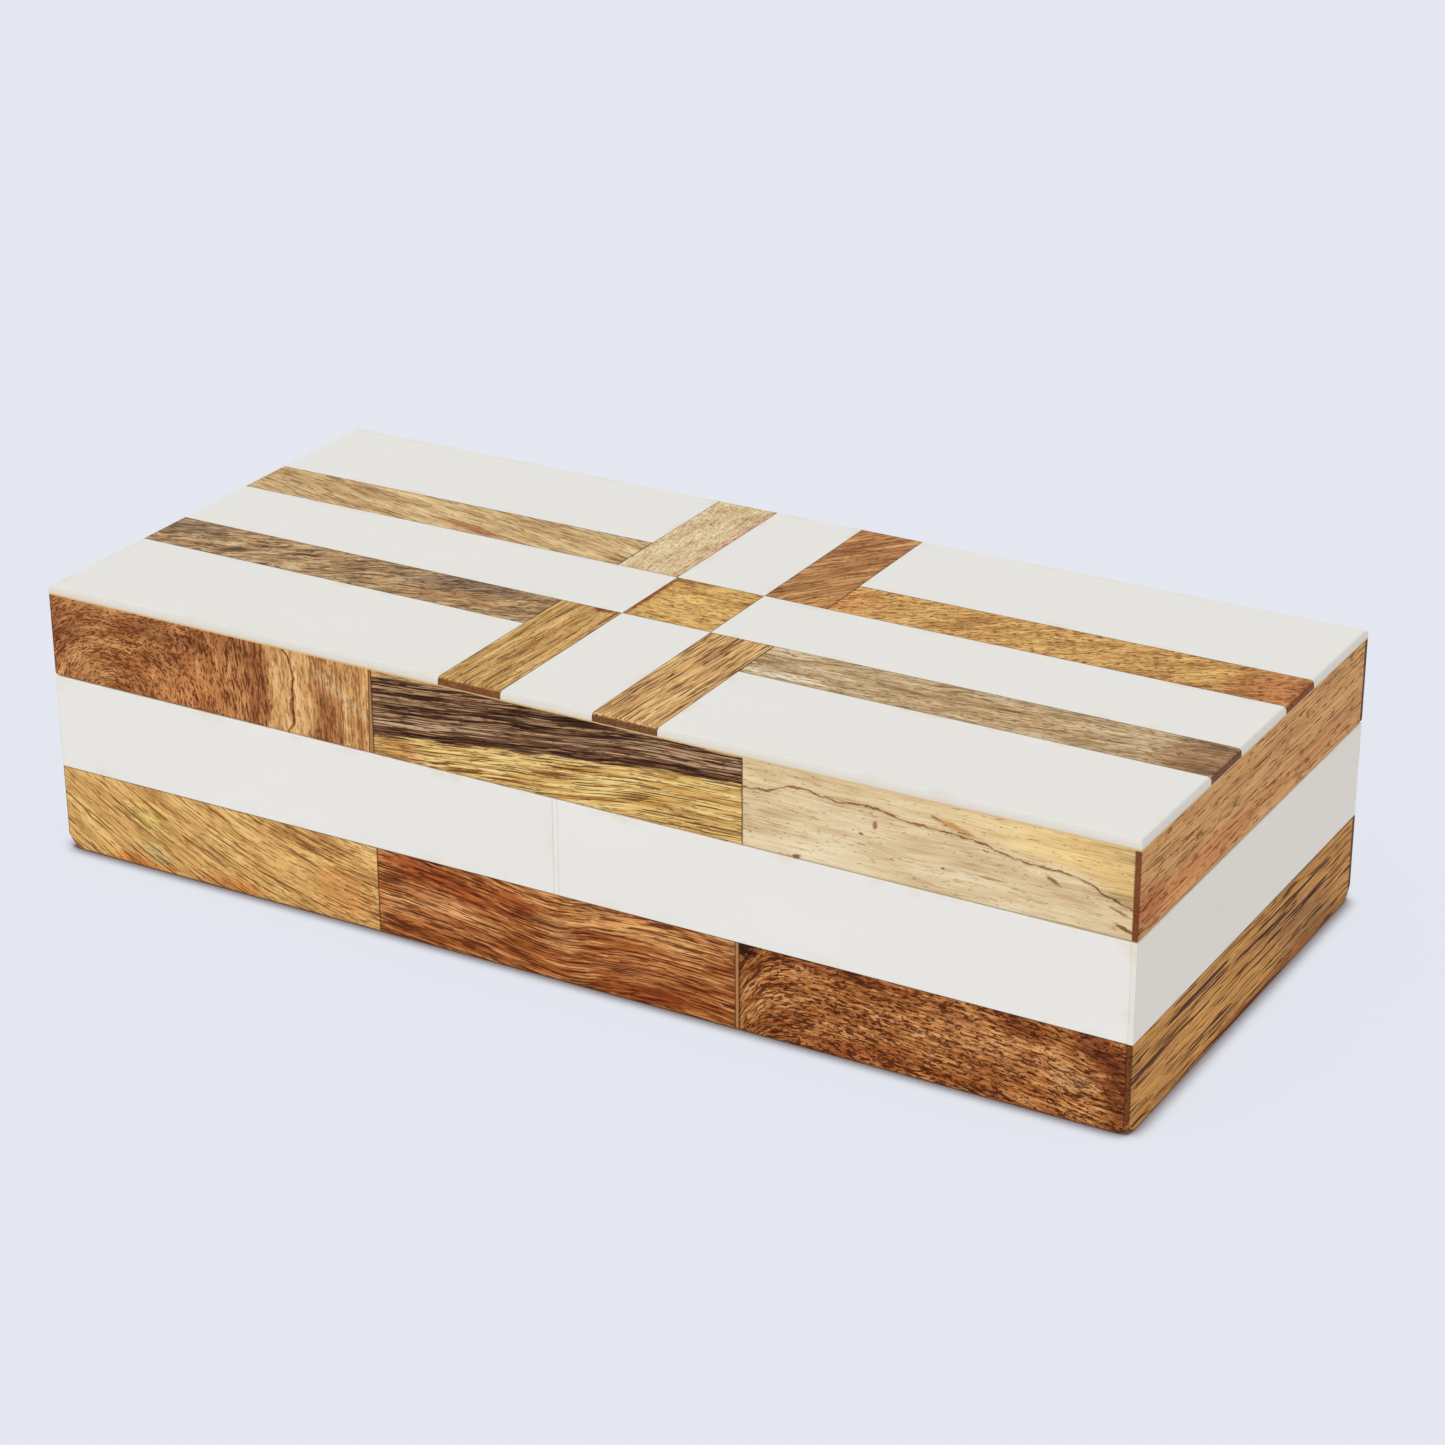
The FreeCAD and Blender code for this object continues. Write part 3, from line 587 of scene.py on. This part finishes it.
        bend=(1.0, 16.0), tone=(20, 3.0, 0.72), streaks=(11, 0.8, 0.62), lines=(6.0, 0.47, 0.585, 0.59),
        pores=(1.8, 0.35, 0.6, 0.57),
        marks=((8, 8, 12, 7, 0, (206, 153, 88), 0.6),)),
    # the hidden sides, of the same kinds of wood
    "lid_band_back_left": Wood(**GOLD, turn=3, seed=18.0),
    "lid_band_back_middle": Wood(**RED, turn=-4, seed=19.0),
    "lid_band_back_right": Wood(**BROWN, turn=6, bend=(2.0, 20.0), seed=20.0),
    "base_band_back_left": Wood(**RED, bend=(2.0, 20.0), pores=(1.4, 0.41, 0.58, 0.8), seed=21.0),
    "base_band_back_middle": Wood(**GOLD, turn=-8, seed=22.0),
    "base_band_back_right": Wood(**BROWN, turn=5, seed=23.0),
    "lid_band_left": Wood(**BROWN, bend=(1.0, 30.0), seed=24.0),
    "base_band_left": Wood(**RED, bend=(1.4, 26.0), seed=25.0),
}
CORE = Wood(pale=(196, 154, 110), body=(166, 122, 80), dark=(112, 74, 42), tone=(60, 7, 0.72),
            streaks=(30, 0.9, 0.42), seed=40.0)


# ---------------------------------------------------------------- white inlay, brass, cloth

# one off-white resin, in three shades for the top, the end pieces and the sides: the differences
# between them are painted light and shade, standing in for how each face is lit
WHITE_LIT_BY_FACE = {"top": (234, 232, 227), "end": (231, 225, 214), "side": (234, 231, 224)}
SECOND_LINE = 1.15                  # mm from the seam in front: a thin strip of filler stands there


def white_material(name, seed):
    """Polished resin: off-white, faintly cloudy, a little warmer at its edges."""
    use = "side"
    if name.startswith("top"):
        use = "top"
    elif name in ("white_band_left", "white_band_right"):
        use = "end"
    # the white picked by face carries painted light and shade
    white = WHITE_LIT_BY_FACE[use]
    s = Shader(name + "_resin")
    place = Place(s, name)
    spot = s.point(s.mul(place.along, 0.035), s.mul(place.up, 0.06), seed * 3.1)
    clouds = s.ease(s.noise(spot, 3.0), 0.3, 0.7)
    color = s.mix(clouds, linear(white), linear(tuple(c - 2 for c in white)))
    edge_noise = s.noise(s.point(s.mul(place.along, 0.12), s.mul(place.up, 0.12), seed), 3.0)
    warm = s.mul(s.ease(place.to_edge(s), 2.6, 0.0), s.ease(edge_noise, 0.48, 0.72, 0.0, 0.7))
    color = s.mix(warm, color, linear((226, 214, 192)))
    rim = s.mul(s.ease(place.to_edge(s), 0.02, 0.22, 0.34, 0.0), place.face)
    color = s.mix(rim, color, linear((176, 150, 118)))
    if name == "white_band_front_right":
        second = s.ease(s.math("ABSOLUTE", s.sub(place.along, SECOND_LINE)), 0.22, 0.04, 0.0, 0.4)
        color = s.mix(second, color, linear(GLUE))
    if use == "top":
        # painted shade: the rounded edges of the top pieces are darkened to take off the highlight that
        # the light puts on them
        color = s.mix(s.ease(place.facing, 0.98, 0.80, 0.0, 0.7), color, linear((216, 210, 199)))
        color = s.mix(s.ease(place.deep, 0.12, 0.45, 0.8, 0.0), color, linear(GLUE))
    speck = s.noise(s.point(s.mul(place.along, 0.9), s.mul(place.up, 0.9), seed + 2), 1.0)
    color = s.mix(s.ease(speck, 0.80, 0.83, 0.0, 0.35), color, linear((196, 190, 180)))
    scratch = s.noise(s.point(s.mul(place.along, 0.05), s.mul(place.up, 3.0), seed), 3.0)
    return s.finish(Base_Color=color, Roughness=s.ease(scratch, 0.4, 0.65, 0.36, 0.46),
                    Normal=s.bump(scratch, 0.00002, 0.5), Specular_IOR_Level=0.35)


def brass_material(name, bright, dull, patch):
    """Brass with the dull brown film of handling, in patches of a few mm, over fine brush lines."""
    s = Shader(name)
    x, y, z = s.split(s.in_mm(s.node("TexCoord").outputs["Object"]))
    spot = s.point(s.mul(x, 1 / patch), s.mul(y, 1 / patch), s.mul(z, 1 / patch))
    film = s.ease(s.noise(spot, 5.0, 0.6), 0.36, 0.74)
    color = s.mix(film, linear(bright), linear(dull))
    brushed = s.noise(s.point(s.mul(x, 0.3), s.mul(y, 9.0), s.mul(z, 9.0)), 3.0)
    return s.finish(Base_Color=color, Metallic=1.0, Roughness=s.ease(film, 0.0, 1.0, 0.30, 0.46),
                    Normal=s.bump(brushed, 0.00002, 0.5))


def cloth_material(name, light, dark, pile, patch, sheen):
    """Short pile: fine tufts of size pile, and patches where it lies another way. Sizes in mm."""
    s = Shader(name)
    x, y, z = s.split(s.in_mm(s.node("TexCoord").outputs["Object"]))
    tufts = s.noise(s.point(s.mul(x, 1 / pile), s.mul(y, 1 / pile), s.mul(z, 1 / pile)), 2.0)
    lie = s.noise(s.point(s.mul(x, 1 / patch), s.mul(y, 1.4 / patch), 0.0), 3.0, 0.55, 0.4)
    share = s.add(s.mul(s.ease(lie, 0.35, 0.65), 0.6), s.mul(s.ease(tufts, 0.3, 0.7), 0.4))
    color = s.mix(share, linear(dark), linear(light))
    return s.finish(Base_Color=color, Roughness=0.95, Sheen_Weight=sheen, Sheen_Roughness=0.4,
                    Specular_IOR_Level=0.1, Normal=s.bump(tufts, 0.00025, 0.8))


def floor_material():
    """Mostly lit from within, so it takes little real shadow: the dark line under the box is a painted
    contact shadow, drawn from occlusion into its glow.
    """
    s = Shader("pale_floor")
    color = linear(FLOOR_COLOR)
    tinted = tuple(c * (1 - FLOOR_GLOW) for c in color[:3]) + (1.0,)
    # painted contact shadow: the floor's glow turns dark brown where occlusion finds the box close by
    open_sky = s.node("AmbientOcclusion", {"Distance": CONTACT}, samples=12).outputs["AO"]
    glow_with_painted_shadow = s.mix(s.ease(open_sky, 0.38, 0.88), linear((84, 60, 50)), color)
    return s.finish(Base_Color=tinted, Roughness=1.0, Specular_IOR_Level=0.0,
                    Emission_Color=glow_with_painted_shadow, Emission_Strength=FLOOR_GLOW)


# ---------------------------------------------------------------- pieces made here

def add_piece(name, mesh, material):
    mesh.materials.append(material)
    piece = bpy.data.objects.new(name, mesh)
    scene.collection.objects.link(piece)
    return piece


def add_floor():
    mesh = bpy.data.meshes.new("floor")
    half = FLOOR_SIZE / 2
    corners = [(-half, -half, 0), (half, -half, 0), (half, half, 0), (-half, half, 0)]
    mesh.from_pydata(corners, [], [(0, 1, 2, 3)])
    add_piece("floor", mesh, floor_material())


@dataclass
class Panel:
    """A flat lining, in metres. It is thickest in the middle and rolls off at its edges."""
    step: float         # spacing of its points
    roll: float         # radius of its edges
    card: float         # thickness of its flat part
    puff: float         # room for padding above that, partly filled
    ripple: float       # how uneven its face is


VELVET = Panel(step=0.0022, roll=0.0013, card=0.0008, puff=0.0007, ripple=0.00009)
FELT = Panel(step=0.0040, roll=0.0003, card=0.0007, puff=0.00006, ripple=0.000015)
EDGE_FILL, CROWN_FILL = 0.4, 0.5    # share of puff that is filled all over, and more in the middle
CROWN = 0.02                        # how far in from its edges a panel goes on rising
RIPPLE_SIZE = 0.03


def soft_panel(name, cad_node, body, face_up, material, shape):
    """Cloth laid flat in the box of cad_node, whose plain block it replaces.

    face_up is 1 where the cloth faces up and -1 where it faces down.
    """
    low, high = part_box(cad_node)
    build = bmesh.new()

    def surface(x, y):
        edge = min(x - low.x, high.x - x, y - low.y, high.y - y)
        rise = math.sqrt(max(0.0, 1 - (1 - min(edge / shape.roll, 1.0)) ** 2))
        inward = min(edge / CROWN, 1.0)
        uneven = noise.noise(Vector((x, y, body == "lid")) / RIPPLE_SIZE) * shape.ripple * inward
        return rise * (shape.card + shape.puff * (EDGE_FILL + CROWN_FILL * inward) + uneven)

    def stations(first, last):
        """Even stations, with closer ones where the edges roll under."""
        count = round((last - first) / shape.step)
        flat = last - first - 2 * shape.roll
        inner = [first + shape.roll + flat * i / count for i in range(count + 1)]
        edge = [shape.roll * (1 - math.cos(math.pi / 2 * i / 5)) for i in range(5)]
        return [first + e for e in edge] + inner + [last - e for e in reversed(edge)]

    xs, ys = stations(low.x, high.x), stations(low.y, high.y)
    back = low.z if face_up > 0 else high.z
    face = [[build.verts.new((x, y, back + face_up * surface(x, y))) for y in ys] for x in xs]
    card = [[build.verts.new((x, y, back)) for y in ys] for x in xs]
    for i in range(len(xs) - 1):
        for j in range(len(ys) - 1):
            for grid in (face, card):
                build.faces.new((grid[i][j], grid[i + 1][j], grid[i + 1][j + 1], grid[i][j + 1]))
    bmesh.ops.remove_doubles(build, verts=build.verts, dist=1e-6)
    bmesh.ops.recalc_face_normals(build, faces=build.faces)
    mesh = bpy.data.meshes.new(name)
    build.to_mesh(mesh)
    build.free()
    for polygon in mesh.polygons:
        polygon.use_smooth = True
    piece = add_piece(name, mesh, material)
    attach(piece, body)
    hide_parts(cad_node)
    return piece


# ---------------------------------------------------------------- build

def dress(name, material):
    mesh = nodes[name].data
    mesh.materials.clear()
    mesh.materials.append(material)


add_camera()
add_light()
add_floor()

brass = brass_material("brass", (216, 178, 104), (176, 134, 74), 7.0)
worn_brass = brass_material("worn_brass", (236, 208, 146), (188, 150, 92), 2.0)
for number, name in enumerate(sorted(nodes)):
    if name in WOODS:
        dress(name, wood_material(name, WOODS[name]))
    elif "white" in name:
        dress(name, white_material(name, number))
    elif "hinge" in name:
        dress(name, worn_brass if "screws" in name or "pin" in name else brass)
    elif name.startswith(("base_wall", "lid_rail", "base_floor", "lid_board")):
        dress(name, wood_material(name, CORE))

velvet = cloth_material("velvet", (116, 22, 32), (88, 14, 23), 0.40, 26.0, 0.7)
for body, face_up in (("base", 1), ("lid", -1)):
    lining = soft_panel(f"{body}_velvet", f"{body}_lining", body, face_up, velvet, VELVET)

felt = cloth_material("felt", (44, 74, 52), (26, 48, 34), 0.5, 9.0, 0.25)
foot = soft_panel("foot_felt", "base_felt", "base", -1, felt, FELT)
